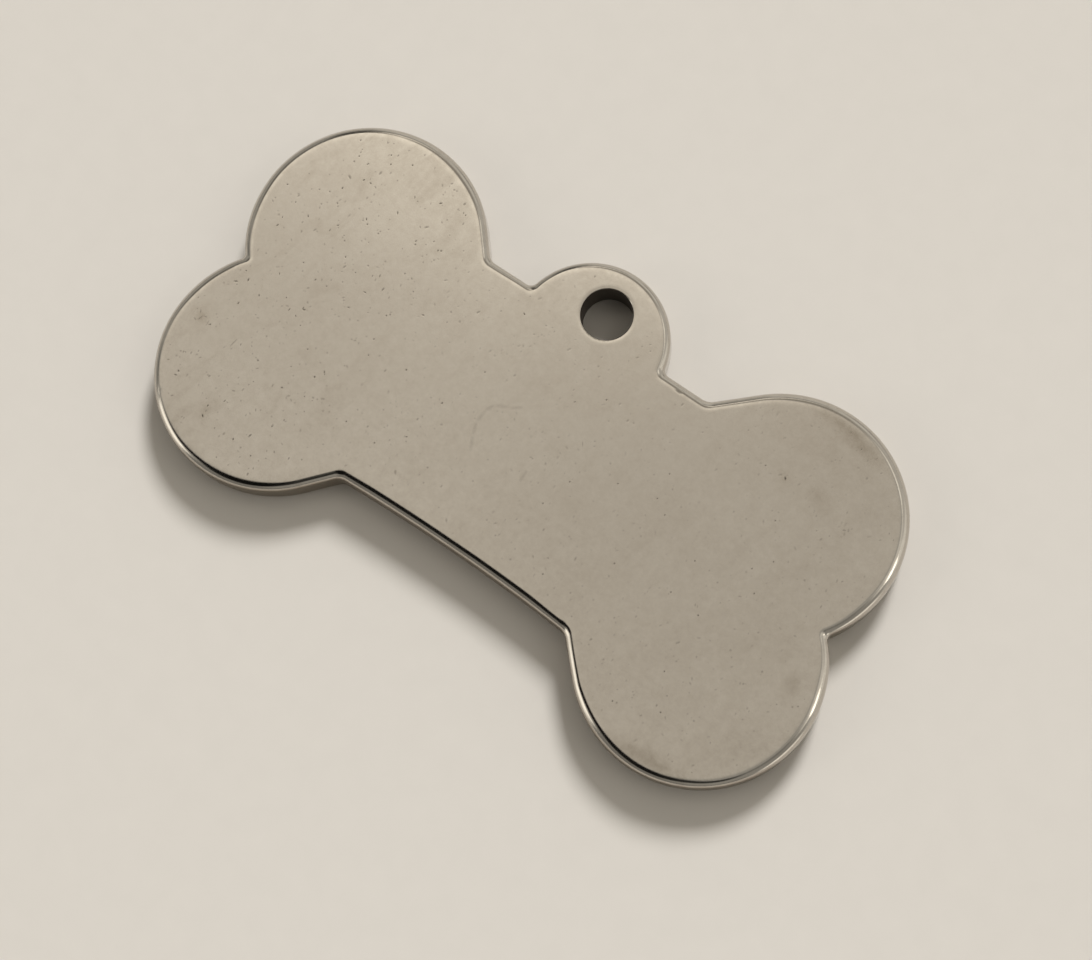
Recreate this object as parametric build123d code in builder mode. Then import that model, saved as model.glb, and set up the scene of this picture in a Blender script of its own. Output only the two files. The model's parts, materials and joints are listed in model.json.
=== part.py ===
# Pet identity tag: a flat bone-shaped blank with a round hanging tab and one hole. The blank is cast in
# zinc alloy, copper plated and then bright nickel plated all over, and every edge is polished round.
# Frame: millimetres, +Z up, lying on its back face. +X runs along the bone and +Y points to the tab.
# The origin is on the back face, on the tab's centre line, midway between the two rows of lobes.
import os
from math import acos, degrees, sqrt

from build123d import *

# Four lobes in two rows. The lower pair is spread wider than the upper one and sits further along X.
lobe_radius = 6.5
row_spacing = 8.3
upper_lobe_spacing = 26.35
lower_lobe_spacing = 26.9
upper_lobe_shift = 0.225
lower_lobe_shift = 0.6

# Edges of the waist, measured from the middle line: the upper one is straight, the lower one bows in a little
upper_waist_reach = 7.05
lower_waist_reach = 6.68
lower_waist_bow = 0.22

# How far each end of the waist stands off its lobe's circle along X; a straight flank leads over to the lobe
upper_left_flank = 0.28
upper_right_flank = 0.63
lower_left_flank = 0.36
lower_right_flank = 0.51

# Hanging tab on the upper edge: its circle is centred a little inside the waist
tab_radius = 4.2
tab_sink = 0.65

# Hole for the split ring, with the metal left between it and the top of the tab
hole_diameter = 2.75
hole_wall = 1.25

# Thickness and polished edges
thickness = 2.0
edge_radius = 0.5
hole_edge_radius = 0.15

# Inside corners of the outline: sharp between two lobes, softer at the waist's ends and beside the tab
lobe_corner_radius = 0.15
waist_corner_radius = 0.4
tab_corner_radius = 0.25

# Depth of each plated layer
nickel_depth = 0.03
copper_depth = 0.03

# An edge is never rounded past this share of the thickness
edge_limit_share = 0.45

# Places that follow from the sizes above
tab_centre_y = upper_waist_reach - tab_sink
hole_centre_y = tab_centre_y + tab_radius - hole_wall - hole_diameter / 2
upper_row_y = row_spacing / 2
lower_row_y = -row_spacing / 2
upper_left_lobe = Vector(upper_lobe_shift - upper_lobe_spacing / 2, upper_row_y)
upper_right_lobe = Vector(upper_lobe_shift + upper_lobe_spacing / 2, upper_row_y)
lower_left_lobe = Vector(lower_lobe_shift - lower_lobe_spacing / 2, lower_row_y)
lower_right_lobe = Vector(lower_lobe_shift + lower_lobe_spacing / 2, lower_row_y)
lower_end_reach = lower_waist_reach + lower_waist_bow
upper_half_chord = sqrt(lobe_radius**2 - (upper_waist_reach - upper_row_y) ** 2)
lower_half_chord = sqrt(lobe_radius**2 - (lower_end_reach + lower_row_y) ** 2)
upper_left_corner = Vector(upper_left_lobe.X + upper_half_chord + upper_left_flank, upper_waist_reach)
upper_right_corner = Vector(upper_right_lobe.X - upper_half_chord - upper_right_flank, upper_waist_reach)
lower_left_corner = Vector(lower_left_lobe.X + lower_half_chord + lower_left_flank, -lower_end_reach)
lower_right_corner = Vector(lower_right_lobe.X - lower_half_chord - lower_right_flank, -lower_end_reach)
lower_middle = Vector((lower_left_corner.X + lower_right_corner.X) / 2, -lower_waist_reach)
edge_rounding = min(edge_radius, edge_limit_share * thickness)
hole_rounding = min(hole_edge_radius, edge_limit_share * thickness)


def flank_end(corner, lobe, side):
    """Where the flank from a waist corner touches a lobe."""
    gap = corner - lobe
    turn = degrees(acos(lobe_radius / gap.length))
    return lobe + gap.normalized().rotate(Axis.Z, side * turn) * lobe_radius


def tag_form(depth):
    """The whole tag, drawn in from its outer surface by depth on every side."""
    with BuildPart() as form:
        with BuildSketch(Plane.XY.offset(depth)) as outline:
            # Each circle starts at its point nearest the middle of the bone, inside the metal
            with Locations(upper_left_lobe, lower_left_lobe):
                Circle(lobe_radius)
            with Locations(Location(upper_right_lobe, (0, 0, 180)), Location(lower_right_lobe, (0, 0, 180))):
                Circle(lobe_radius)
            with Locations(Location((0, tab_centre_y), -90)):
                Circle(tab_radius)
            # The waist with its flanks reaches from lobe centre to lobe centre
            with BuildLine():
                Polyline(
                    lower_left_corner,
                    flank_end(lower_left_corner, lower_left_lobe, -1),
                    lower_left_lobe,
                    upper_left_lobe,
                    flank_end(upper_left_corner, upper_left_lobe, 1),
                    upper_left_corner,
                    upper_right_corner,
                    flank_end(upper_right_corner, upper_right_lobe, -1),
                    upper_right_lobe,
                    lower_right_lobe,
                    flank_end(lower_right_corner, lower_right_lobe, 1),
                    lower_right_corner,
                )
                ThreePointArc(lower_right_corner, lower_middle, lower_left_corner)
            make_face()
            # Inside corners, the nearest two to the tab first
            by_tab = outline.vertices().sort_by_distance((0, tab_centre_y))[:2]
            fillet(by_tab, radius=tab_corner_radius)
            between_lobes = outline.vertices().sort_by(Axis.X)
            fillet([between_lobes[0], between_lobes[-1]], radius=lobe_corner_radius)
            for corner in (upper_left_corner, upper_right_corner, lower_left_corner, lower_right_corner):
                fillet(outline.vertices().sort_by_distance(corner)[0], radius=waist_corner_radius)
            if depth:
                offset(amount=-depth)
            with Locations((0, hole_centre_y)):
                Circle(hole_diameter / 2 + depth, mode=Mode.SUBTRACT)
        extrude(amount=thickness - 2 * depth)
        # Outer edges, front and back
        flats = form.faces().filter_by(Axis.Z)
        fillet([edge for flat in flats for edge in flat.outer_wire().edges()], radius=edge_rounding - depth)
        # Edges of the hole, front and back
        flats = form.faces().filter_by(Axis.Z)
        hole_wires = [wire for flat in flats for wire in flat.inner_wires()]
        fillet([edge for wire in hole_wires for edge in wire.edges()], radius=hole_rounding - depth)
    return form.part


whole_tag = tag_form(0)
copper_plated_blank = tag_form(nickel_depth)
bare_blank = tag_form(nickel_depth + copper_depth)

# Bright nickel skin: everything that shows, the wall of the hole included
with BuildPart() as bright_nickel_plating:
    add(whole_tag)
    add(copper_plated_blank, mode=Mode.SUBTRACT)
bright_nickel_plating.part.label = "bright_nickel_plating"

# Copper layer that levels the casting under the nickel
with BuildPart() as copper_underplate:
    add(copper_plated_blank)
    add(bare_blank, mode=Mode.SUBTRACT)
copper_underplate.part.label = "copper_underplate"

# Zinc alloy blank
with BuildPart() as zinc_blank:
    add(bare_blank)
zinc_blank.part.label = "zinc_blank"

os.makedirs("parts", exist_ok=True)
for layer in (bright_nickel_plating, copper_underplate, zinc_blank):
    export_step(layer.part, f"parts/{layer.part.label}.step")
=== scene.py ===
"""Dresses the packed bone-shaped pet tag: worn nickel skin, hidden metals and a studio to see it in."""
import json
import math
import random

import bpy
import numpy as np
from bpy.props import FloatProperty, FloatVectorProperty, IntProperty, PointerProperty
from mathutils import Matrix, Vector, noise
from mathutils.geometry import delaunay_2d_cdt
from mathutils.kdtree import KDTree


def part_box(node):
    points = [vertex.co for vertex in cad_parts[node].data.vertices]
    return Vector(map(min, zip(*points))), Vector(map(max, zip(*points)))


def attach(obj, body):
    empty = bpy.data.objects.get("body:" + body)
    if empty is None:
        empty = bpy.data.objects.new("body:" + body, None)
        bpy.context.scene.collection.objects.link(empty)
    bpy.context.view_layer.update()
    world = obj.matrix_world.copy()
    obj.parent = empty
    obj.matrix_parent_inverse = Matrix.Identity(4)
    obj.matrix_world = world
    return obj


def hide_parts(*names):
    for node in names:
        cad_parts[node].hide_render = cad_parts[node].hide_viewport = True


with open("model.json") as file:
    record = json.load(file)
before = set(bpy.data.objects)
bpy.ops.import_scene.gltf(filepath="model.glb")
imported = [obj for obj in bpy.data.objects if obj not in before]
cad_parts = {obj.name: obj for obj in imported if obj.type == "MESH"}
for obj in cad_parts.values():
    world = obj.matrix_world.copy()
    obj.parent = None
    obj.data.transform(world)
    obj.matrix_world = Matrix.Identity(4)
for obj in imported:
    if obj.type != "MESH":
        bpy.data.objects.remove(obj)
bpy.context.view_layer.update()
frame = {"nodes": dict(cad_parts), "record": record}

bl_info = {
    "name": "Bone Pet Tag",
    "version": (1, 0, 0),
    "blender": (4, 5, 0),
    "location": "View3D > Sidebar > Pet Tag",
    "description": "A plated bone-shaped pet tag with worn edges and pitted faces, on a studio floor",
    "category": "Object",
}

MM = 0.001
PLATED_LOW, PLATED_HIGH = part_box("bright_nickel_plating")
HANG_HOLE = next(m for m in frame["record"]["mounts"] if m["name"] == "hang_hole")


def linear(code):
    """An sRGB hex colour as linear red, green, blue and alpha."""
    parts = [int(code[i:i + 2], 16) / 255 for i in (1, 3, 5)]
    return tuple(p / 12.92 if p <= 0.04045 else ((p + 0.055) / 1.055) ** 2.4 for p in parts) + (1.0,)


def add_node(tree, kind, inputs=(), **settings):
    """Adds a node with its settings. Inputs, by name or number, get a value or the socket that feeds them."""
    node = tree.nodes.new(kind)
    for name, value in settings.items():
        setattr(node, name, value)
    for name, value in dict(inputs).items():
        if isinstance(value, bpy.types.NodeSocket):
            tree.links.new(value, node.inputs[name])
        else:
            node.inputs[name].default_value = value
    return node


def size(name, description, millimetres):
    """A length that a user may change, given here in millimetres and kept in metres."""
    return FloatProperty(name=name, description=description, default=millimetres * MM, min=0.0,
                         precision=5, subtype="DISTANCE", unit="LENGTH")


def colour(name, description, code):
    """A colour that a user may change, given as an sRGB hex value."""
    return FloatVectorProperty(name=name, description=description, default=linear(code), size=4,
                               min=0.0, max=1.0, subtype="COLOR")


def angle(name, description, degrees):
    """An angle that a user may change, given here in degrees."""
    return FloatProperty(name=name, description=description, default=math.radians(degrees), subtype="ANGLE",
                         unit="ROTATION")


class TagShape(bpy.types.PropertyGroup):
    """Sizes of the bone outline and of its edges."""
    lobe_radius: size("Lobe radius", "Radius of each of the four round ends", 6.5)
    row_spacing: size("Row spacing", "Distance between the upper and lower rows of lobe centres", 8.3)
    upper_spacing: size("Upper spacing", "Distance between the two upper lobe centres", 26.35)
    lower_spacing: size("Lower spacing", "Distance between the two lower lobe centres", 26.9)
    upper_shift: size("Upper shift", "How far the upper pair sits to the right", 0.225)
    lower_shift: size("Lower shift", "How far the lower pair sits to the right", 0.6)
    upper_reach: size("Upper waist reach", "Height of the waist's upper edge above the middle", 7.05)
    lower_reach: size("Lower waist reach", "Depth of the middle of the waist's lower edge below the middle",
                      6.68)
    lower_bow: size("Lower waist bow", "How far the waist's lower edge bows in between its ends", 0.22)
    upper_left_flank: size("Upper left flank", "How far the waist's end stands off the upper left lobe", 0.28)
    upper_right_flank: size("Upper right flank", "How far the waist's end stands off the upper right lobe",
                            0.63)
    lower_left_flank: size("Lower left flank", "How far the waist's end stands off the lower left lobe", 0.36)
    lower_right_flank: size("Lower right flank", "How far the waist's end stands off the lower right lobe",
                            0.51)
    tab_radius: size("Tab radius", "Radius of the round hanging tab", 4.2)
    tab_height: size("Tab height", "Height of the tab's centre above the middle", 6.4)
    hole_radius: size("Hole radius", "Radius of the hanging hole", HANG_HOLE["dims"]["r_mm"])
    hole_height: size("Hole height", "Height of the hole's centre above the middle",
                      HANG_HOLE["pos_m"][1] / MM)
    thickness: size("Thickness", "Thickness of the tag", (PLATED_HIGH.z - PLATED_LOW.z) / MM)
    lobe_corner: size("Lobe corner radius", "Radius of the inside corner between two lobes", 0.3)
    waist_corner: size("Waist corner radius", "Radius of the inside corners at the waist's left end", 0.7)
    worn_corner: size("Worn corner radius",
                      "Radius of the inside corners at the waist's right end, buffed softer", 0.9)
    tab_corner: size("Tab corner radius", "Radius of the inside corners beside the tab", 0.45)
    edge_radius: size("Edge radius", "Usual rounding of the outer edges", 0.5)
    hole_edge: size("Hole edge radius", "Rounding of the hole's edges", 0.06)


class TagWear(bpy.types.PropertyGroup):
    """How much the plated faces are pitted and wavy."""
    pits_front: IntProperty(name="Front pits", description="Small pits scattered on the front face",
                            default=1100, min=0)
    pits_back: IntProperty(name="Back pits", description="Small pits scattered on the back face",
                           default=120, min=0)
    pit_radius: size("Pit radius", "Usual radius of a small pit", 0.046)
    pit_depth: size("Pit depth", "Greatest depth of a pit, less than the plating's", 0.018)
    wave_length: size("Wave length", "Distance between the slow waves that buffing leaves", 6.0)
    wave_depth: size("Wave depth", "Depth of the slow waves", 0.006)
    roll_width: size("Roll width", "Width of the band by the edge that buffing has rolled over", 0.13)
    roll_depth: size("Roll depth", "How far that band falls away", 0.004)
    bore_roll: size("Bore roll depth", "How far the face falls away round the hole", 0.007)
    seed: IntProperty(name="Seed", description="Which scatter of pits is drawn", default=11)


class TagFinish(bpy.types.PropertyGroup):
    """Colours of the tag's metals."""
    nickel: colour("Nickel", "Clean bright nickel", "#D1CCC4")
    # Tarnish and grime also serve as painted shade: grime in the bore, and both on the lower wall facing -y.
    tarnish_and_shade: colour("Tarnish", "Nickel that has dulled", "#A2988B")
    grime_and_shade: colour("Grime", "Dirt and oxide in the pits", "#4B4138")
    copper: colour("Copper", "Copper strike under the nickel", "#B87B5C")
    copper_dark: colour("Dark copper", "Copper in its coarser grains", "#8F5A41")
    zinc: colour("Zinc", "Die-cast zinc alloy", "#A9ABAC")
    zinc_dark: colour("Dark zinc", "Zinc alloy in its flow marks", "#84878A")


class TagStudio(bpy.types.PropertyGroup):
    """Floor, light and camera."""
    floor: colour("Floor", "Matt painted board", "#D0CBC4")
    key_strength: FloatProperty(name="Key strength", description="Strength of the lamp that casts the shadow",
                                default=3.4, min=0.0)
    key_azimuth: angle("Key azimuth", "Where the key stands, from the tag's length towards its tab", 103)
    key_height: angle("Key height", "How high the key stands over the floor", 36)
    key_width: angle("Key width", "How wide the key looks from the tag", 16)
    azimuth: angle("Camera azimuth", "Where the camera stands round the tag", 57.12)
    elevation: angle("Camera elevation", "How high the camera stands", 77.26)
    roll: angle("Camera roll", "How far the camera is turned about its view", -22.56)
    distance: size("Camera distance", "Distance from the camera to the face", 112.89)
    target: FloatVectorProperty(name="Camera target",
                                description="Point on the face in the middle of the picture",
                                default=(2.425 * MM, -1.006 * MM, 2.0 * MM), subtype="TRANSLATION",
                                unit="LENGTH")
    lens: FloatProperty(name="Lens", description="Focal length in millimetres on a 36 mm sensor",
                        default=72.53, min=1)


# The larger pits of the front face, each with its place, half length, half width in mm and turn in degrees.
FRONT_PITS = (
    (-16.9, -1.0, 0.15, 0.06, -75), (-10.8, 8.1, 0.14, 0.05, -135), (-17.4, 2.3, 0.13, 0.05, -110),
    (-13.6, 5.2, 0.10, 0.05, -60), (-13.4, 5.0, 0.07, 0.05, -70), (-8.0, 2.6, 0.10, 0.05, -165),
    (-7.0, -0.3, 0.08, 0.06, -85), (-10.8, -3.3, 0.09, 0.06, -85), (-4.4, -0.7, 0.09, 0.06, -100),
    (-4.9, -3.2, 0.10, 0.04, -150), (-15.7, 5.9, 0.09, 0.05, -95), (-15.0, 6.9, 0.09, 0.05, -120),
    (-11.3, 1.9, 0.14, 0.04, -175), (-12.4, -8.4, 0.09, 0.06, -60), (-3.6, 5.6, 0.10, 0.05, -25),
    (-13.3, 2.9, 0.08, 0.05, -70), (14.5, 0.1, 0.07, 0.05, -85), (-14.1, -1.1, 0.14, 0.04, -90),
    (1.3, 3.2, 0.09, 0.04, -130), (-14.0, -7.0, 0.12, 0.04, -100), (5.6, 0.9, 0.07, 0.05, -120),
    (3.5, -0.4, 0.07, 0.05, -135), (-9.6, 1.5, 0.07, 0.05, -70), (12.8, -2.4, 0.07, 0.06, -20),
    (-15.7, 0.2, 0.12, 0.04, -55), (12.5, 5.9, 0.14, 0.07, -50), (-14.5, -8.3, 0.13, 0.06, -35),
    (-14.6, -7.7, 0.10, 0.04, -80),
)
# Smaller dark specks of the front face, by place in mm.
FRONT_SPECKS = (
    (2.6, 4.2), (7.5, 2.8), (7.7, 1.4), (8.5, 0.9), (11.3, 5.9), (3.0, -2.1), (7.8, -2.6), (5.1, -5.1),
    (11.1, -0.2), (11.0, -2.2), (13.7, 1.1), (14.4, 2.0), (13.3, 3.8), (13.0, -5.7), (14.0, -7.5),
    (11.7, -8.4), (-9.4, 5.9), (-15.0, 1.4), (-9.4, 0.1), (-3.5, 1.9), (-14.3, 8.4), (-13.3, 9.0),
    (-16.3, 3.6), (-12.6, 4.9), (-10.6, 5.5), (-12.0, -2.3), (-8.0, -4.3), (-11.1, -6.7), (-11.1, -8.6),
    (-6.1, -4.4),
)
# A speck's half length and half width in mm, its turn in degrees and its depth in mm.
SPECK = (0.075, 0.055, -90, 0.004)
# Scratches and the scuff on the front face, laid out like the larger pits.
FRONT_SCRATCHES = (
    (-15.5, -4.2, 0.46, 0.04, -100), (2.9, 1.6, 0.30, 0.035, -55),
    (-18.0, -3.8, 0.17, 0.045, -60), (-17.8, -4.1, 0.22, 0.045, -105), (-18.0, -4.3, 0.15, 0.05, -20),
    (-17.6, -3.9, 0.12, 0.05, 10), (-17.3, -4.1, 0.28, 0.035, -85),
)
# Faint lines rubbed into the front face, laid out like the larger pits: an arc and a stroke beside it.
FRONT_RUBS = (
    (-1.88, -1.59, 0.60, 0.14, 116), (-2.21, -0.84, 0.50, 0.13, 109), (-2.32, -0.14, 0.50, 0.16, 88),
    (-2.20, 0.47, 0.42, 0.15, 66), (-1.72, 0.90, 0.52, 0.14, 28), (-1.04, 1.26, 0.48, 0.12, 36),
    (1.33, -1.50, 0.60, 0.12, 92),
)
# Depth of the larger pits and of the scratches, as shares of their half width.
PIT_STEEPNESS, SCRATCH_STEEPNESS = 0.09, 0.02
# How much dirt the marks of the front face hold, from 0 to 1.
PIT_DIRT, SPECK_DIRT, SCRATCH_DIRT, RUB_DIRT = 0.85, 0.72, 0.40, 0.19
# Dull patches on the front face: place, half length, half width in mm, turn in degrees and strength.
FRONT_STAINS = (
    (14.2, 9.6, 1.9, 0.42, -12, 0.62), (12.3, 9.8, 0.8, 0.35, 8, 0.36), (14.6, -9.8, 1.7, 0.38, 5, 0.40),
    (18.6, -2.6, 0.55, 0.28, -82, 0.40), (18.3, -6.6, 1.4, 0.70, 55, 0.18), (12.5, 5.9, 0.7, 0.40, -50, 0.24),
    (14.5, 6.0, 1.0, 0.60, -20, 0.28), (-17.8, -4.0, 0.55, 0.40, -60, 0.30),
    (-14.5, -8.0, 0.9, 0.30, -75, 0.22), (13.2, 8.4, 3.2, 1.6, -10, 0.18),
)
# How far the outer edge has been buffed round the tag: place in mm and share of the usual rounding.
EDGE_ROUNDING = (
    (-12, 10.6, 1.00), (-19.4, 4, 0.94), (-18, 0, 0.82), (-19.0, -1.9, 0.97), (-19.0, -6.4, 0.84),
    (-16.5, -9.5, 0.87), (-12.5, -10.6, 0.92), (-6.6, -6.9, 0.86), (-4, -6.7, 0.90), (4, -6.7, 0.94),
    (7.6, -6.9, 0.82), (8.5, -8.0, 0.78), (11.3, -10, 1.00), (16, -10.4, 0.86), (20.5, -3, 1.04),
    (19.2, 0, 0.84), (19.8, 3.5, 1.04), (13, 10.6, 1.00), (7, 7.1, 0.88), (4.2, 7.1, 0.78),
    (2.5, 10, 0.78), (-2, 10, 0.74), (-3.6, 8.5, 0.70), (-4.2, 7.1, 0.66), (-6.9, 7.1, 0.78),
)
# Dings in the outer edge: place and half length in mm, middle and half width over the rounding in degrees,
# and depth in mm.
EDGE_DINGS = (
    (-17.3, -8.9, 0.30, 10, 24, 0.008), (5.5, 7.05, 0.26, 18, 34, 0.014), (7.2, -6.88, 0.20, 15, 30, 0.006),
)
# Flats worn on the outer edge: place in mm, slope in degrees and depth in mm.
EDGE_FLATS = (
    (19.88, 4.66, 24, 0.008), (19.80, 5.28, 24, 0.007),
    (20.44, -2.97, 24.5, 0.008), (20.30, -2.36, 24.5, 0.007),
)
# No flat reaches further from its place than this, in mm.
FLAT_REACH = 1.2
# The small pits of a face are drawn in this field, along the bone and across it, clear of every edge.
PIT_FIELD = ((-19.5, 20.5), (-10.7, 10.7))
PIT_CLEARANCE = 0.7
# For places along the bone up to each of these: the share of the drawn pits that is kept, and of their dirt.
PIT_SHARES = ((-9, 1.0, 1.0), (5, 0.70, 0.64), (math.inf, 0.62, 0.64))
# A small pit's least and greatest half width in mm, how many times as long it may be, and how it lies, in
# degrees.
PIT_LIMITS = (0.026, 0.074)
PIT_STRETCHES = (1.0, 1.3, 1.7, 2.4)
PIT_TURN, PIT_TURN_SPREAD = -92, 34
# An even scatter of face points fills this field, and keeps this many half lengths away from every mark.
FACE_FIELD = ((-19.8, 20.8), (-10.8, 10.8))
MARK_CLEARANCE = 1.75


def in_mm(group):
    """The group's lengths in millimetres, by name."""
    return {name: getattr(group, name) / MM for name in group.__annotations__}


def run_round(centre, radius, start, end, way, count):
    """Points and unit spokes along an arc from the bearing of start to that of end, one way round."""
    a0 = math.atan2(start[1] - centre[1], start[0] - centre[0])
    turn = way * (math.atan2(end[1] - centre[1], end[0] - centre[0]) - a0) % math.tau
    t = a0 + way * turn * np.linspace(0, 1, count, endpoint=False)
    spokes = np.stack([np.cos(t), np.sin(t)], -1)
    return np.asarray(centre) + radius * spokes, spokes


def straight(start, end):
    """A straight run as centre, radius and bulge, like the round ones: a circle too wide to tell."""
    way = (end - start) / np.hypot(*(end - start))
    wide = 1e5
    return (start[0] - wide * way[1], start[1] + wide * way[0], wide, 1)


def fillet_centre(a, b, radius, near):
    """Centre of the fillet between two runs of the outline, in the corner near that point."""
    r_a, r_b = a[2] + a[3] * radius, b[2] + b[3] * radius
    gap = np.array(b[:2]) - a[:2]
    span = np.hypot(*gap)
    along = (span * span + r_a * r_a - r_b * r_b) / (2 * span)
    off = math.sqrt(r_a * r_a - along * along)
    across = np.array([-gap[1], gap[0]]) / span
    middle = np.array(a[:2]) + gap / span * along
    return min((middle + across * off, middle - across * off), key=lambda p: np.hypot(*(p - near)))


def touch(run, centre):
    """Where a fillet about that centre touches a run of the outline."""
    spoke = centre - np.array(run[:2])
    return np.array(run[:2]) + spoke / np.hypot(*spoke) * run[2]


def flank_end(corner, lobe, side):
    """Where the flank from a waist corner touches a lobe."""
    gap = corner - lobe[:2]
    turn = math.atan2(gap[1], gap[0]) + side * math.acos(lobe[2] / np.hypot(*gap))
    return np.array(lobe[:2]) + lobe[2] * np.array([math.cos(turn), math.sin(turn)])


def outline_runs(s):
    """The outline's runs, counter-clockwise in mm, each with the radius and place of the corner after it."""
    rise, r = s["row_spacing"] / 2, s["lobe_radius"]
    low = s["lower_reach"] + s["lower_bow"]
    lobes, corners, ends = {}, {}, {}
    for row, height in (("upper", s["upper_reach"]), ("lower", -low)):
        y = rise if row == "upper" else -rise
        chord = math.sqrt(r * r - (height - y) ** 2)
        for side, x_way in (("left", -1), ("right", 1)):
            x = s[row + "_shift"] + x_way * s[row + "_spacing"] / 2
            lobe = (x, y, r, 1)
            corner = np.array([x - x_way * (chord + s[f"{row}_{side}_flank"]), height])
            lobes[row, side], corners[row, side] = lobe, corner
            ends[row, side] = flank_end(corner, lobe, -x_way if row == "upper" else x_way)
    ul, ur, ll, lr = ("upper", "left"), ("upper", "right"), ("lower", "left"), ("lower", "right")
    tab = (0.0, s["tab_height"], s["tab_radius"], 1)
    tab_side = np.array([math.sqrt(tab[2] ** 2 - (s["upper_reach"] - tab[1]) ** 2), s["upper_reach"]])
    top = straight(corners[ur], corners[ul])
    half = (corners[lr][0] - corners[ll][0]) / 2
    bow = (half * half + s["lower_bow"] ** 2) / (2 * s["lower_bow"])
    bottom = (corners[ll][0] + half, -s["lower_reach"] - bow, bow, -1)
    lobe, waist, worn, by_tab = s["lobe_corner"], s["waist_corner"], s["worn_corner"], s["tab_corner"]
    # The radius is 0 where a flank runs smoothly into a lobe.
    return (
        (lobes[lr], lobe, (lobes[lr][0] + r, 0)),
        (lobes[ur], 0, ends[ur]),
        (straight(ends[ur], corners[ur]), worn, corners[ur]),
        (top, by_tab, tab_side),
        (tab, by_tab, tab_side * (-1, 1)),
        (top, waist, corners[ul]),
        (straight(corners[ul], ends[ul]), 0, ends[ul]),
        (lobes[ul], lobe, (lobes[ul][0] - r, 0)),
        (lobes[ll], 0, ends[ll]),
        (straight(ends[ll], corners[ll]), waist, corners[ll]),
        (bottom, worn, corners[lr]),
        (straight(corners[lr], ends[lr]), 0, ends[lr]),
    )


def trace(runs, inset, counts):
    """Points and outward normals along the runs drawn in by inset, by counts of points per run and corner."""
    drawn = [(x, y, radius - bulge * inset, bulge) for (x, y, radius, bulge), _, _ in runs]
    followers = drawn[1:] + drawn[:1]
    joints = [fillet_centre(a, b, corner, np.array(place)) if corner else place
              for a, b, (_, corner, place) in zip(drawn, followers, runs)]
    points, normals = [], []
    for i, (run, (_, corner, _)) in enumerate(zip(drawn, runs)):
        end = touch(run, joints[i])
        p, n = run_round(run[:2], run[2], touch(run, joints[i - 1]), end, run[3], counts[i][0])
        points.append(p)
        normals.append(n * run[3])
        if corner:
            p, n = run_round(joints[i], corner, end, touch(followers[i], joints[i]), -1, counts[i][1])
            points.append(p)
            normals.append(-n)
    return np.concatenate(points), np.concatenate(normals)


# The outline is drawn in by these steps, in mm, past any edge rounding and the rows of face points beside it.
INSET_STEP, INSET_STEPS = 0.1, 11
# Points along the outline stand about this far apart, in mm.
POINT_SPACING = 0.09


def bone_outline(s):
    """The outline in mm: points, normals, shares of the way round, a tree and points drawn in by steps."""
    runs = outline_runs(s)
    places = [np.array(place) for _, _, place in runs]
    counts = []
    for i, (_, corner, _) in enumerate(runs):
        along_run = 1.15 * np.hypot(*(places[i] - places[i - 1])) / POINT_SPACING
        counts.append((max(12, math.ceil(along_run)), 3 + math.ceil(40 * corner)))
    points, normals = trace(runs, 0.0, counts)
    along = np.concatenate([[0], np.cumsum(np.hypot(*np.diff(points, axis=0).T))])
    around = along / (along[-1] + np.hypot(*(points[0] - points[-1])))
    drawn = np.array([trace(runs, INSET_STEP * k, counts)[0] for k in range(INSET_STEPS)])
    return {"points": points, "normals": normals, "around": around, "tree": point_tree(points),
            "drawn": drawn}


def drawn_in(line, depth):
    """The outline's points, each drawn in by its own depth in mm. Inside corners keep their radius."""
    steps = np.clip(depth / INSET_STEP, 0, len(line["drawn"]) - 1.001)
    low = steps.astype(int)
    share = (steps - low)[:, None]
    each = np.arange(len(depth))
    return line["drawn"][low, each] * (1 - share) + line["drawn"][low + 1, each] * share


def point_tree(points):
    """A search tree of flat points."""
    tree = KDTree(len(points))
    for i, (x, y) in enumerate(points):
        tree.insert((x, y, 0), i)
    tree.balance()
    return tree


def soft(value):
    """A smooth rise from 0 to 1."""
    t = np.clip(value, 0, 1)
    return t * t * (3 - 2 * t)


def edge_radii(s, line, seed):
    """The edge rounding at each outline point, uneven from buffing by hand."""
    places = np.array(EDGE_ROUNDING)
    gaps = np.linalg.norm(line["points"][:, None] - places[:, :2], axis=2)
    pull = (0.5 + gaps**2) ** -1.5
    shares = pull @ places[:, 2] / pull.sum(1)
    # The unevenness is noise read along a circle, so that it meets itself.
    circle, unevenness = 9, 0.03
    uneven = [noise.noise(Vector((circle * math.cos(t), circle * math.sin(t), seed)))
              for t in line["around"] * math.tau]
    return s["edge_radius"] * (shares + unevenness * np.array(uneven))


def waves(xy, wear, seed):
    """How far the buffed face dips at each point, in mm."""
    length, depth = wear.wave_length / MM, wear.wave_depth / MM
    return np.array([depth * (0.5 + 0.5 * noise.noise(Vector((x / length, y / length, seed))))
                     for x, y in xy])


def dents(xy, marks):
    """Depth in mm and dirt at each point. A mark is (x, y, half length, half width, degrees, depth, dirt)."""
    depth, dirt = np.zeros(len(xy)), np.zeros(len(xy))
    for x, y, a, b, turn, deep, dirty in marks:
        c, n = math.cos(math.radians(turn)), math.sin(math.radians(turn))
        dx, dy = xy[:, 0] - x, xy[:, 1] - y
        q = ((dx * c + dy * n) / a) ** 2 + ((dy * c - dx * n) / b) ** 2
        bowl = np.clip(1 - q, 0, 1) ** 2
        depth, dirt = np.maximum(depth, deep * bowl), np.maximum(dirt, dirty * bowl)
    return depth, dirt


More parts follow.
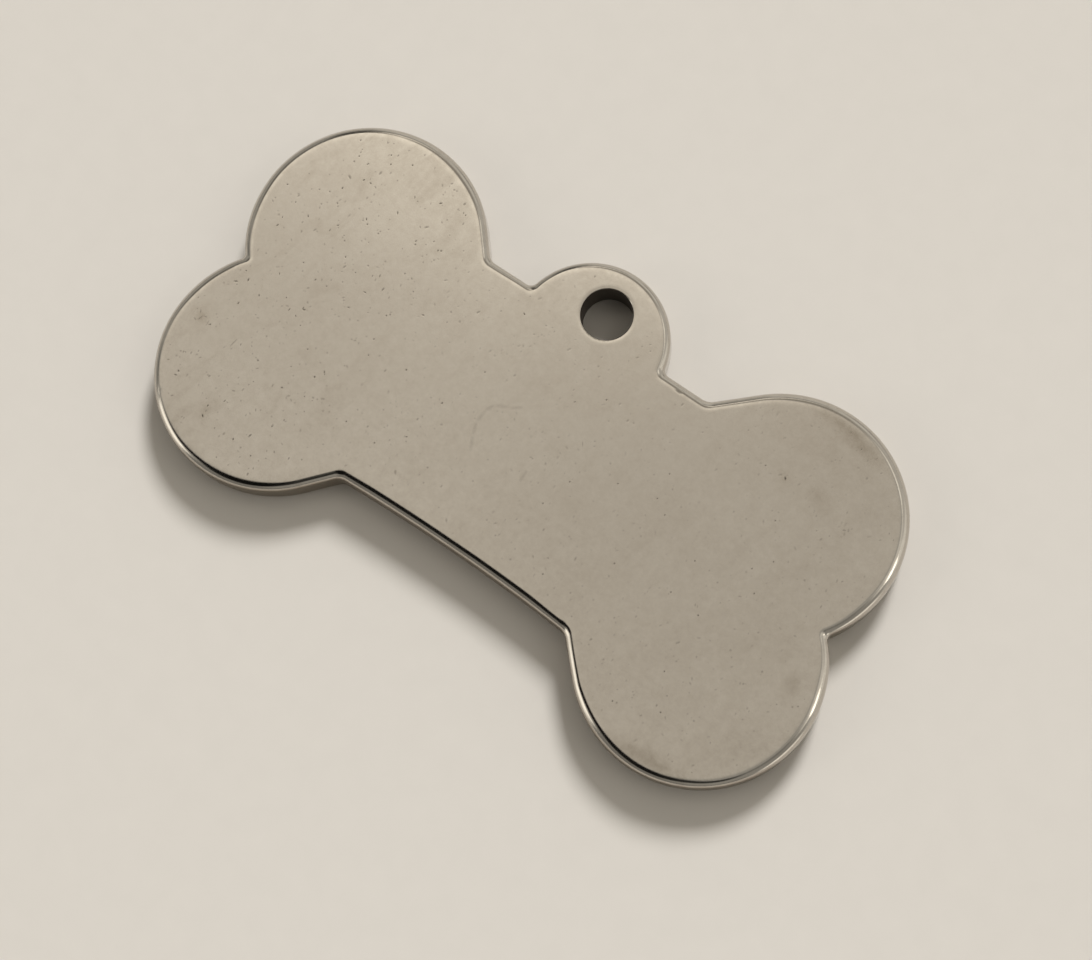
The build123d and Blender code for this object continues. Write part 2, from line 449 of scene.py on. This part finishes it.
def mark_points(marks):
    """Points that carry each mark's bowl: its middle and rings inside, on and just outside its rim."""
    found = []
    for x, y, a, b, turn, _, _ in marks:
        long_way = 1 + int(max(a, b) / min(a, b) / 1.5)
        spokes = 8 * min(long_way, 3)
        c, n = math.cos(math.radians(turn)), math.sin(math.radians(turn))
        for ring, count in ((0.0, 1), (0.5, spokes), (1.0, spokes), (1.45, spokes)):
            for k in range(count):
                t = math.tau * (k + 0.5 * (ring == 1.0)) / count
                u, v = a * ring * math.cos(t), b * ring * math.sin(t)
                found.append((x + u * c - v * n, y + u * n + v * c))
    return found


def depth_inside(line, xy):
    """How far each point lies inside the outline, in mm."""
    near = [line["tree"].find((x, y, 0))[1] for x, y in xy]
    return np.sum((line["points"][near] - xy) * line["normals"][near], axis=1)


def from_hole(s, xy):
    """How far each point lies from the hole's wall, in mm."""
    return np.hypot(xy[:, 0], xy[:, 1] - s["hole_height"]) - s["hole_radius"]


def from_rim(xy, rim):
    """How far each point lies from a closed line of points, in mm."""
    ends = np.roll(rim, -1, 0)
    tree = point_tree(np.concatenate([rim + (ends - rim) * share for share in (0.0, 0.25, 0.5, 0.75)]))
    return np.array([tree.find((x, y, 0))[2] for x, y in xy])


def rolled(s, wear, xy, rim):
    """How far the face falls away at each point, in mm, close to the outer edge and to the hole."""
    width, depth = wear.roll_width / MM, wear.roll_depth / MM
    edge = np.clip(1 - from_rim(xy, rim) / width, 0, 1) ** 2
    hole = np.clip(1 - (from_hole(s, xy) - s["hole_edge"]) / width, 0, 1) ** 2
    return np.maximum(depth * edge, wear.bore_roll / MM * hole)


def scattered_pits(s, wear, line, count, seed):
    """Small pits drawn at random, closer together and dirtier towards the left lobes."""
    draw = random.Random(seed)
    radius, deepest = wear.pit_radius / MM, wear.pit_depth / MM
    pits = []
    while len(pits) < count:
        x, y = (draw.uniform(*span) for span in PIT_FIELD)
        share, dirt_share = next(shares for limit, *shares in PIT_SHARES if x < limit)
        here = np.array([[x, y]])
        if draw.random() > share or min(depth_inside(line, here)[0], from_hole(s, here)[0]) < PIT_CLEARANCE:
            continue
        small = min(max(radius * draw.lognormvariate(0, 0.30), PIT_LIMITS[0]), PIT_LIMITS[1])
        long = small * draw.choice(PIT_STRETCHES)
        worn = draw.random() ** 2
        turn = draw.gauss(PIT_TURN, PIT_TURN_SPREAD)
        deep = min((0.02 + 0.06 * worn) * small, deepest)
        dirty = (0.30 + 0.48 * worn) * dirt_share
        pits.append((x, y, long, small, turn, deep, dirty))
    return pits


def front_marks(s, wear, line):
    """Every pit, scratch and rubbed line of the front face."""
    deepest = wear.pit_depth / MM
    large = [(*p, min(PIT_STEEPNESS * p[3], deepest), PIT_DIRT) for p in FRONT_PITS]
    specks = [(*p, *SPECK, SPECK_DIRT) for p in FRONT_SPECKS]
    scratches = [(*p, SCRATCH_STEEPNESS * p[3], SCRATCH_DIRT) for p in FRONT_SCRATCHES]
    rubs = [(*p, 0.0, RUB_DIRT) for p in FRONT_RUBS]
    return large + specks + scratches + rubs + scattered_pits(s, wear, line, wear.pits_front, wear.seed)


def face_points(s, marks, line, radii, seed):
    """Points inside a face: rows along its rim and the hole, an even scatter, and the marks' own points."""
    draw = random.Random(seed)
    rows = [drawn_in(line, radii + inset)[k::2] for k, inset in ((0, 0.07), (1, 0.16), (0, 0.25), (1, 0.35))]
    hole_rim = s["hole_radius"] + s["hole_edge"]
    for grow, count in ((0.06, 80), (0.15, 70), (0.26, 60)):
        t = np.linspace(0, math.tau, count, endpoint=False)
        reach = hole_rim + grow
        rows.append(np.stack([reach * np.cos(t), s["hole_height"] + reach * np.sin(t)], -1))
    pitch, row_share, stray, clearance = 0.42, 0.87, 0.08, 0.45
    (left, right), (low, high) = FACE_FIELD
    grid = np.array([(x + (j % 2) * pitch / 2 + draw.uniform(-stray, stray), y + draw.uniform(-stray, stray))
                     for j, y in enumerate(np.arange(low, high, pitch * row_share))
                     for x in np.arange(left, right, pitch)])
    grid = grid[np.minimum(depth_inside(line, grid), from_hole(s, grid)) > s["edge_radius"] + clearance]
    for x, y, half_length, *_ in marks:
        grid = grid[np.hypot(grid[:, 0] - x, grid[:, 1] - y) > MARK_CLEARANCE * half_length]
    own = np.array(mark_points(marks))
    return np.concatenate(rows + [grid, own])


def worn_flats(rings, normals):
    """Cuts the flats worn on the outer edge: what stands out over each flat's plane is laid down on it."""
    rounding = np.array(rings)
    for x, y, slope, deep in EDGE_FLATS:
        at = np.argmin(np.hypot(rounding[-1, :, 0] - x, rounding[-1, :, 1] - y))
        facing = math.atan2(normals[at, 1], normals[at, 0])
        a = math.radians(slope)
        upright = np.array([math.sin(a) * math.cos(facing), math.sin(a) * math.sin(facing), math.cos(a)])
        near = np.hypot(rounding[-1, :, 0] - x, rounding[-1, :, 1] - y) < FLAT_REACH
        level = (rounding[:, near] @ upright).max() - deep
        over = np.maximum(rounding[:, near] @ upright - level, 0)
        rounding[:, near] -= over[:, :, None] * upright
    return list(rounding)


def rim_rings(s, wear, line, radii):
    """Rings of points down the outer edge, from the front face's rim over the wall to the back face's rim."""
    h, rings = s["thickness"], []
    points, normals = line["points"], line["normals"]
    turns = np.radians(np.linspace(0, 90, 16))
    for t in turns:
        reach = drawn_in(line, radii * (1 - math.sin(t)))
        ring = np.column_stack([reach, h - radii * (1 - math.cos(t))])
        sunk = waves(reach, wear, wear.seed) + wear.roll_depth / MM
        ring[:, 2] -= sunk * math.cos(t)
        for x, y, half, middle, wide, deep in EDGE_DINGS:
            near = np.clip(1 - (np.hypot(points[:, 0] - x, points[:, 1] - y) / half) ** 2, 0, 1) ** 2
            over = max(0.0, 1 - ((math.degrees(t) - middle) / wide) ** 2) ** 2
            push = deep * near * over
            upright = np.full(len(points), math.cos(t))
            ring -= push[:, None] * np.column_stack([normals * math.sin(t), upright])
        rings.append(ring)
    rings = worn_flats(rings, normals)
    for share in np.linspace(0, 1, 6)[1:-1]:
        rings.append(np.column_stack([points, h - radii - (h - 2 * radii) * share]))
    for t in turns[::-2]:
        reach = drawn_in(line, radii * (1 - math.sin(t)))
        rings.append(np.column_stack([reach, radii * (1 - math.cos(t))]))
    return rings


def hole_rings(s, wear):
    """Rings of points down the hanging hole."""
    h, r, e = s["thickness"], s["hole_radius"], s["hole_edge"]
    t = np.linspace(0, math.tau, 120, endpoint=False)
    spokes = np.stack([np.cos(t), np.sin(t)], -1)
    turns = np.radians(np.linspace(0, 90, 7))
    profile = [(r + e * (1 - math.sin(a)), h - e * (1 - math.cos(a))) for a in turns]
    profile += [(r, h - e - (h - 2 * e) * share) for share in np.linspace(0, 1, 8)[1:-1]]
    profile += [(r + e * (1 - math.sin(a)), e * (1 - math.cos(a))) for a in turns[::-1]]
    # Wear has left a shallow nick in the hole's front edge.
    nick_bearing, nick_width, nick_depth = math.radians(62), 0.16, 0.02
    nick = np.exp(-((t - nick_bearing) / nick_width) ** 2)
    rings = []
    for k, (reach, z) in enumerate(profile):
        grown = reach + nick_depth * nick * (k < 5)
        sunk = wear.bore_roll / MM * (k < len(turns)) * math.cos(turns[min(k, len(turns) - 1)])
        ring = spokes * grown[:, None] + [0, s["hole_height"]]
        rings.append(np.column_stack([ring, np.full(len(t), z - sunk)]))
    return rings


def fill_face(rim, hole, inner):
    """The inner points, and the triangles between rim, hole and inner points, numbered in that order."""
    loops = len(rim) + len(hole)
    flat = np.concatenate([rim, hole, inner])
    edges = [(i, (i + 1) % len(rim)) for i in range(len(rim))]
    edges += [(len(rim) + i, len(rim) + (i + 1) % len(hole)) for i in range(len(hole))]
    verts, _, faces, origins, _, _ = delaunay_2d_cdt([Vector(p) for p in flat], edges, [], 1, 1e-5)
    numbers = [min(o) for o in origins]
    if sorted(set(numbers))[:loops] != list(range(loops)):
        raise RuntimeError("a point of the face's rim was lost in the triangulation")
    centre = hole.mean(0)
    clear = np.hypot(*(hole - centre).T).min() * 0.999
    triangles = []
    for face in faces:
        middle = np.mean([verts[v] for v in face], axis=0)
        if np.hypot(*(middle - centre)) > clear:
            triangles.append([numbers[v] for v in face])
    return flat[loops:], triangles


def plated_mesh(s, wear):
    """The whole nickel skin as points in mm, faces, and the dirt and dullness of each point, which also carry
    painted shade in the bore and on the lower wall facing -y.
    """
    line = bone_outline(s)
    radii = edge_radii(s, line, wear.seed)
    rings = rim_rings(s, wear, line, radii)
    bore = hole_rings(s, wear)
    points, faces = [], []

    def tube(loops, outward):
        first = sum(len(p) for p in points)
        count = len(loops[0])
        points.extend(loops)
        for j in range(len(loops) - 1):
            for i in range(count):
                a, b = first + j * count + i, first + j * count + (i + 1) % count
                quad = (a, a + count, b + count, b)
                faces.append(quad if outward else quad[::-1])
        return first, first + (len(loops) - 1) * count

    rim_first, rim_last = tube(rings, True)
    bore_first, bore_last = tube(bore, False)
    dirt = [np.zeros(sum(len(p) for p in points))]
    back = scattered_pits(s, wear, line, wear.pits_back, wear.seed + 1)
    for marks, top, rim_at, bore_at in ((front_marks(s, wear, line), True, rim_first, bore_first),
                                        (back, False, rim_last, bore_last)):
        rim, hole = (rings[0], bore[0]) if top else (rings[-1], bore[-1])
        wanted = face_points(s, marks, line, radii, wear.seed + top)
        inner, triangles = fill_face(rim[:, :2], hole[:, :2], wanted)
        depth, dirty = dents(inner, marks)
        fade = soft(from_hole(s, inner) - s["hole_edge"])
        sunk = waves(inner, wear, wear.seed) * fade + rolled(s, wear, inner, rim[:, :2])
        dip = depth + (sunk if top else 0)
        first = sum(len(p) for p in points)
        points.append(np.column_stack([inner, s["thickness"] - dip if top else dip]))
        dirt.append(dirty)
        shift = {**{i: rim_at + i for i in range(len(rim))},
                 **{len(rim) + i: bore_at + i for i in range(len(hole))}}
        loops = len(rim) + len(hole)
        for triangle in triangles:
            numbers = [shift[v] if v < loops else first + v - loops for v in triangle]
            faces.append(numbers if top else numbers[::-1])
    points = np.concatenate(points)
    stain_and_shade = np.zeros(len(points))
    for x, y, a, b, turn, strength in FRONT_STAINS:
        c, n = math.cos(math.radians(turn)), math.sin(math.radians(turn))
        dx, dy = points[:, 0] - x, points[:, 1] - y
        spread = ((dx * c + dy * n) / a) ** 2 + ((dy * c - dx * n) / b) ** 2
        stain_and_shade = np.maximum(stain_and_shade, strength * np.exp(-spread) * (points[:, 2] > s["thickness"] / 2))
    # The bore holds real grime, laid on thickly here as painted shade so that the hole looks dark inside.
    bore_dirt_and_shade, near_wall_shade = 0.85, 0.3
    in_bore = soft((0.05 - from_hole(s, points)) / 0.04)
    dirt = np.maximum(np.concatenate(dirt), bore_dirt_and_shade * in_bore)
    # Painted shade: the lower wall facing -y, under its rounded edge, is dulled and darkened with tarnish and
    # grime, standing in for a dark reflection of shadowed floor.
    depth = s["thickness"] - np.array(rings)[:, :, 2]
    dull = soft((depth - 0.12) / 0.25) * soft((-line["normals"][:, 1] - 0.1) / 0.5)
    count = dull.size
    stain_and_shade[:count] = np.maximum(stain_and_shade[:count], dull.ravel())
    dirt[:count] = np.maximum(dirt[:count], near_wall_shade * dull.ravel())
    return points, faces, dirt, stain_and_shade


def nickel_plating(finish):
    """Bright nickel plated on a buffed casting: a warm grey mirror with buffing haze and dulled patches, and
    painted shade in the bore and on the lower wall facing -y.
    """
    material = bpy.data.materials.new("bright_nickel_buffed")
    material.use_nodes = True
    tree = material.node_tree
    tree.nodes.clear()
    place = add_node(tree, "ShaderNodeTexCoord").outputs["Object"]
    # The dirt and stain attributes hold real dirt and tarnish, and also painted shade in the bore and on the
    # lower wall facing -y.
    dirt = add_node(tree, "ShaderNodeAttribute", attribute_name="dirt").outputs["Fac"]
    stain_and_shade = add_node(tree, "ShaderNodeAttribute", attribute_name="stain_and_shade").outputs["Fac"]
    # Smudges run across the bone, some 3.5 mm long and 1.3 mm wide.
    smudge_place = add_node(tree, "ShaderNodeMapping", {"Vector": place, "Rotation": (0, 0, math.radians(75)),
                                                        "Scale": (3.5 * MM, 1.3 * MM, 2 * MM)},
                            vector_type="TEXTURE")
    smudges = add_node(tree, "ShaderNodeTexNoise", {"Vector": smudge_place.outputs[0], "Scale": 1.0,
                                                    "Detail": 3.0, "Distortion": 0.9})
    # Clouds of tarnish are some 5 mm across.
    clouds = add_node(tree, "ShaderNodeTexNoise", {"Vector": place, "Scale": 1 / (5 * MM), "Detail": 4.0,
                                                   "Roughness": 0.6})
    # The grain of the plating is really a few micrometres wide. What shows is its unevenness, half a
    # millimetre and finer.
    grain = add_node(tree, "ShaderNodeTexNoise", {"Vector": place, "Scale": 1 / (0.45 * MM), "Detail": 4.0,
                                                  "Roughness": 0.75})
    cloudy = add_node(tree, "ShaderNodeMapRange", {"Value": clouds.outputs["Fac"], "From Min": 0.42,
                                                   "From Max": 0.75, "To Min": 0.0, "To Max": 0.08},
                      interpolation_type="SMOOTHSTEP")
    # The smudges still show on the left lobes and have been rubbed away towards the right.
    across = add_node(tree, "ShaderNodeSeparateXYZ", {0: place}).outputs["X"]
    kept = add_node(tree, "ShaderNodeMapRange", {"Value": across, "From Min": -15 * MM, "From Max": -4 * MM,
                                                 "To Min": 0.15, "To Max": 0.06},
                    interpolation_type="SMOOTHSTEP")
    smudgy = add_node(tree, "ShaderNodeMapRange", {"Value": smudges.outputs["Fac"], "From Min": 0.48,
                                                   "From Max": 0.72, "To Min": 0.0,
                                                   "To Max": kept.outputs[0]},
                      interpolation_type="SMOOTHSTEP")
    mottled = add_node(tree, "ShaderNodeMath", {0: grain.outputs["Fac"], 1: 0.50, 2: smudgy.outputs[0]},
                       operation="MULTIPLY_ADD")
    uneven = add_node(tree, "ShaderNodeMath", {0: grain.outputs["Fac"], 1: 0.5, 2: 0.6},
                      operation="MULTIPLY_ADD")
    patches = add_node(tree, "ShaderNodeMath", {0: stain_and_shade, 1: uneven.outputs[0]}, operation="MULTIPLY")
    dull = add_node(tree, "ShaderNodeMath", {0: cloudy.outputs[0], 1: mottled.outputs[0]}, operation="ADD")
    dulled = add_node(tree, "ShaderNodeMath", {0: dull.outputs[0], 1: patches.outputs[0]}, operation="ADD",
                      use_clamp=True)
    # Tarnish colours the clouds, smudges and stains, and is painted shade on the lower wall facing -y.
    skin = add_node(tree, "ShaderNodeMix", {0: dulled.outputs[0], 6: finish.nickel, 7: finish.tarnish_and_shade},
                    data_type="RGBA")
    # Grime colours the dirty pits, and is painted shade in the bore and on the lower wall facing -y.
    face = add_node(tree, "ShaderNodeMix", {0: dirt, 6: skin.outputs[2], 7: finish.grime_and_shade}, data_type="RGBA")
    # A buffed plating is nearly a mirror; haze, dull patches and dirty pits scatter more.
    hazy = add_node(tree, "ShaderNodeMapRange", {"Value": dulled.outputs[0], "To Min": 0.07, "To Max": 0.30})
    rough = add_node(tree, "ShaderNodeMath", {0: dirt, 1: 0.35, 2: hazy.outputs[0]}, operation="MULTIPLY_ADD")
    bump = add_node(tree, "ShaderNodeBump", {"Strength": 1.0, "Distance": 0.0006 * MM,
                                             "Height": grain.outputs["Fac"]})
    shader = add_node(tree, "ShaderNodeBsdfPrincipled", {"Base Color": face.outputs[2], "Metallic": 1.0,
                                                         "Roughness": rough.outputs[0],
                                                         "Normal": bump.outputs[0]})
    add_node(tree, "ShaderNodeOutputMaterial", {"Surface": shader.outputs[0]})
    return material


def hidden_metal(name, light, dark, grain_mm, roughness):
    """A metal left as it was plated or cast: two tones in even grains, and a satin surface."""
    material = bpy.data.materials.new(name)
    material.use_nodes = True
    tree = material.node_tree
    tree.nodes.clear()
    place = add_node(tree, "ShaderNodeTexCoord").outputs["Object"]
    grain = add_node(tree, "ShaderNodeTexNoise", {"Vector": place, "Scale": 1 / (grain_mm * MM),
                                                  "Detail": 4.0})
    tone = add_node(tree, "ShaderNodeMix", {0: grain.outputs["Fac"], 6: light, 7: dark}, data_type="RGBA")
    satin = add_node(tree, "ShaderNodeMapRange", {"Value": grain.outputs["Fac"], "To Min": roughness - 0.1,
                                                  "To Max": roughness + 0.1})
    bump = add_node(tree, "ShaderNodeBump", {"Strength": 0.4, "Distance": 0.005 * MM,
                                             "Height": grain.outputs["Fac"]})
    shader = add_node(tree, "ShaderNodeBsdfPrincipled", {"Base Color": tone.outputs[2], "Metallic": 1.0,
                                                         "Roughness": satin.outputs[0],
                                                         "Normal": bump.outputs[0]})
    add_node(tree, "ShaderNodeOutputMaterial", {"Surface": shader.outputs[0]})
    return material


class TAG_OT_plated_skin(bpy.types.Operator):
    """Builds the worn nickel skin in place of the plain plating"""
    bl_idname = "tag.plated_skin"
    bl_label = "Nickel Skin"

    def execute(self, context):
        scene = context.scene
        points, faces, dirt, stain_and_shade = plated_mesh(in_mm(scene.tag_shape), scene.tag_wear)
        mesh = bpy.data.meshes.new("nickel_skin")
        mesh.from_pydata((points * MM).tolist(), [], faces)
        if mesh.validate():
            raise RuntimeError("the nickel skin has faces that Blender had to mend")
        # Dirt and stain carry real dirt and tarnish, and painted shade in the bore and on the lower wall
        # facing -y.
        for name, values in (("dirt", dirt), ("stain_and_shade", stain_and_shade)):
            mesh.attributes.new(name, "FLOAT", "POINT").data.foreach_set("value", values.astype(np.float32))
        mesh.polygons.foreach_set("use_smooth", np.ones(len(mesh.polygons), bool))
        mesh.materials.append(nickel_plating(scene.tag_finish))
        skin = bpy.data.objects.new("nickel_skin", mesh)
        scene.collection.objects.link(skin)
        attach(skin, "root")
        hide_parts("bright_nickel_plating")
        return {"FINISHED"}


class TAG_OT_hidden_metals(bpy.types.Operator):
    """Gives the copper strike and the zinc casting their own finishes"""
    bl_idname = "tag.hidden_metals"
    bl_label = "Hidden Metals"

    def execute(self, context):
        look = context.scene.tag_finish
        # An electroplated copper strike is matt and finely grained; pressure-cast zinc shows grey flow marks.
        copper = hidden_metal("copper_strike_plated", look.copper, look.copper_dark,
                              grain_mm=0.3, roughness=0.45)
        zinc = hidden_metal("zinc_alloy_cast", look.zinc, look.zinc_dark, grain_mm=1.2, roughness=0.5)
        for name, material in (("copper_underplate", copper), ("zinc_blank", zinc)):
            node = frame["nodes"].get(name)
            if node is None:
                raise RuntimeError(f"the frame has no {name}")
            node.data.materials.clear()
            node.data.materials.append(material)
        return {"FINISHED"}


# What stands round the studio, as soft round patches: bearing and height of the middle, how far the patch is
# full and where it ends, all in degrees, and its brightness. Each one covers those before it.
ROOM_PATCHES = (
    (38, 25, 25, 55, 0.62),      # pale wall on the far right
    (34, 22, 8, 22, 0.90),       # its brightest part
    (112, 9, 10, 22, 0.72),      # pale wall beyond the tab
    (92, 31, 7, 16, 0.74),
    (-162, 36, 4, 12, 0.18),     # dark corner on the left
    (-75, 15, 35, 52, 0.24),     # dim wall behind the camera
    (-50, 30, 12, 25, 0.36),     # two paler strips of that wall
    (-109, 37, 3, 9, 0.28),
    (-90, 57, 16, 24, 0.006),    # the dark top of that wall
    (-112, 69, 11, 16, 0.006),
    (-141, 60, 7, 10.5, 0.005),
    (-150, 78, 3, 7, 0.01),
    (-50, 56, 7, 16, 0.04),
    (-8, 34, 10, 26, 0.33),      # grey wall on the right
    (-14, 60, 6, 14, 0.24),      # the darker top of the grey wall
    (-135, 10, 9, 17, 1.30),     # foot of the window on the left
    (-136, 28, 9.5, 16, 1.75),   # the window
    (-150, 43, 4, 9, 1.10),      # its top
    (-10, 4, 8, 17, 1.30),       # lamp low on the right
    (22, 44, 6, 15, 0.95),       # lamps on the far right
    (21, 40, 3, 6, 3.00),
    (73, 60, 4, 10, 1.20),
    (38, 62, 4, 12, 0.80),
)
# The overhead panel and what shows round its far edge, laid over the room in the same way.
PANEL_PATCHES = (
    (147, 75, 14, 17, 0.735),    # the panel
    (110, 80, 3, 12, 0.648),     # its dimmer right end
    (123, 56, 0, 21, 1.75),      # the lamp behind its far edge
    (112, 57, 8, 16, 0.35),      # dim ceiling beyond the panel
    (142, 49, 4, 9, 0.02),       # dark opening on the far left
    (139, 33, 5, 10, 0.02),
    (162, 50, 6, 13, 0.15),      # dark ceiling on the left
    (157, 62, 1, 4.5, 1.25),     # the panel's bright left edge
    (168, 63, 1, 4.5, 1.15),
    (179, 60, 3, 8, 0.78),
    (-148, 71, 5, 9, 0.005),     # dark gap by its near corner
)
ROOM_LEVEL = 0.42
ROOM_TINT = (1.0, 0.96, 0.87)
PANEL_TINT = (1.0, 0.935, 0.82)


def studio_world(scene):
    """A dim room with a panel overhead, a window low on the left, pale walls, lamps and a dim camera side."""
    world = bpy.data.worlds.new("studio")
    scene.world = world
    world.use_nodes = True
    tree = world.node_tree
    tree.nodes.clear()
    way = add_node(tree, "ShaderNodeTexCoord").outputs["Generated"]
    room = tuple(ROOM_LEVEL * c for c in ROOM_TINT) + (1.0,)
    for patches, tint in ((ROOM_PATCHES, ROOM_TINT), (PANEL_PATCHES, PANEL_TINT)):
        for bearing, height, full, gone, level in patches:
            b, h = math.radians(bearing), math.radians(height)
            middle = (math.cos(h) * math.cos(b), math.cos(h) * math.sin(b), math.sin(h))
            near = add_node(tree, "ShaderNodeVectorMath", {0: way, 1: middle}, operation="DOT_PRODUCT")
            cover = add_node(tree, "ShaderNodeMapRange", {"Value": near.outputs["Value"],
                                                          "From Min": math.cos(math.radians(gone)),
                                                          "From Max": math.cos(math.radians(full))},
                             interpolation_type="SMOOTHSTEP")
            tone = tuple(level * c for c in tint) + (1.0,)
            laid = add_node(tree, "ShaderNodeMix", {0: cover.outputs[0], 6: room, 7: tone}, data_type="RGBA")
            room = laid.outputs[2]
    light = add_node(tree, "ShaderNodeBackground", {"Color": room, "Strength": 1.0})
    add_node(tree, "ShaderNodeOutputWorld", {"Surface": light.outputs[0]})


def matt_board(tone):
    """A board painted with matt emulsion: even and pale, with the faint stipple of a roller."""
    material = bpy.data.materials.new("matt_painted_board")
    material.use_nodes = True
    tree = material.node_tree
    tree.nodes.clear()
    place = add_node(tree, "ShaderNodeTexCoord").outputs["Object"]
    stipple = add_node(tree, "ShaderNodeTexNoise", {"Vector": place, "Scale": 1 / (1.5 * MM), "Detail": 3.0})
    shaded = [0.96 * c for c in tone[:3]] + [1]
    tint = add_node(tree, "ShaderNodeMix", {0: stipple.outputs["Fac"], 6: tone, 7: shaded}, data_type="RGBA")
    shader = add_node(tree, "ShaderNodeBsdfPrincipled", {"Base Color": tint.outputs[2], "Roughness": 0.9,
                                                         "Specular IOR Level": 0.2})
    add_node(tree, "ShaderNodeOutputMaterial", {"Surface": shader.outputs[0]})
    return material


class TAG_OT_studio(bpy.types.Operator):
    """Sets up the pale floor, the light and the camera"""
    bl_idname = "tag.studio"
    bl_label = "Studio"

    def execute(self, context):
        scene, studio = context.scene, context.scene.tag_studio
        half, under, lamp_distance = 3.0, -0.02 * MM, 0.3
        mesh = bpy.data.meshes.new("floor")
        corners = [(-half, -half, under), (half, -half, under), (half, half, under), (-half, half, under)]
        mesh.from_pydata(corners, [], [(0, 1, 2, 3)])
        mesh.materials.append(matt_board(studio.floor))
        floor = bpy.data.objects.new("floor", mesh)
        scene.collection.objects.link(floor)
        studio_world(scene)
        lamp = bpy.data.lights.new("key", "SUN")
        lamp.energy, lamp.angle = studio.key_strength, studio.key_width
        key = bpy.data.objects.new("key", lamp)
        a, e = studio.key_azimuth, studio.key_height
        towards = Vector((math.cos(e) * math.cos(a), math.cos(e) * math.sin(a), math.sin(e)))
        key.rotation_euler = towards.to_track_quat("Z", "Y").to_euler()
        key.location = towards * lamp_distance
        key.visible_glossy = False
        scene.collection.objects.link(key)
        view = bpy.data.cameras.new("camera")
        view.sensor_width, view.lens = 36.0, studio.lens
        view.clip_start, view.clip_end = 0.005, 20.0
        camera = bpy.data.objects.new("camera", view)
        a, e = studio.azimuth, studio.elevation
        back = Vector((math.sin(a) * math.cos(e), -math.cos(a) * math.cos(e), math.sin(e)))
        level = Vector((math.cos(a), math.sin(a), 0))
        upright = back.cross(level)
        right = level * math.cos(studio.roll) + upright * math.sin(studio.roll)
        up = back.cross(right)
        stand = Matrix((right, up, back)).transposed().to_4x4()
        stand.translation = Vector(studio.target) + back * studio.distance
        camera.matrix_world = stand
        scene.collection.objects.link(camera)
        scene.camera = camera
        scene.view_settings.view_transform = "Standard"
        return {"FINISHED"}


class TAG_PT_sidebar(bpy.types.Panel):
    """Lists the tag's sizes, its colours and the steps that build it"""
    bl_idname = "TAG_PT_sidebar"
    bl_label = "Pet Tag"
    bl_space_type = "VIEW_3D"
    bl_region_type = "UI"
    bl_category = "Pet Tag"

    def draw(self, context):
        for step, _ in STEPS:
            self.layout.operator(step.bl_idname)
        for title, group in GROUPS.items():
            box = self.layout.box()
            box.label(text=group.__doc__)
            for name in group.__annotations__:
                box.prop(getattr(context.scene, title), name)


GROUPS = {"tag_shape": TagShape, "tag_wear": TagWear, "tag_finish": TagFinish, "tag_studio": TagStudio}
STEPS = (
    (TAG_OT_plated_skin, "plated_skin"),
    (TAG_OT_hidden_metals, "hidden_metals"),
    (TAG_OT_studio, "studio"),
)
CLASSES = (*GROUPS.values(), *(step for step, _ in STEPS), TAG_PT_sidebar)


def register():
    for cls in CLASSES:
        bpy.utils.register_class(cls)
    for title, group in GROUPS.items():
        setattr(bpy.types.Scene, title, PointerProperty(type=group))


def unregister():
    for title in GROUPS:
        delattr(bpy.types.Scene, title)
    for cls in reversed(CLASSES):
        bpy.utils.unregister_class(cls)


def main():
    register()
    for _, name in STEPS:
        getattr(bpy.ops.tag, name)()


if __name__ == "__main__":
    main()
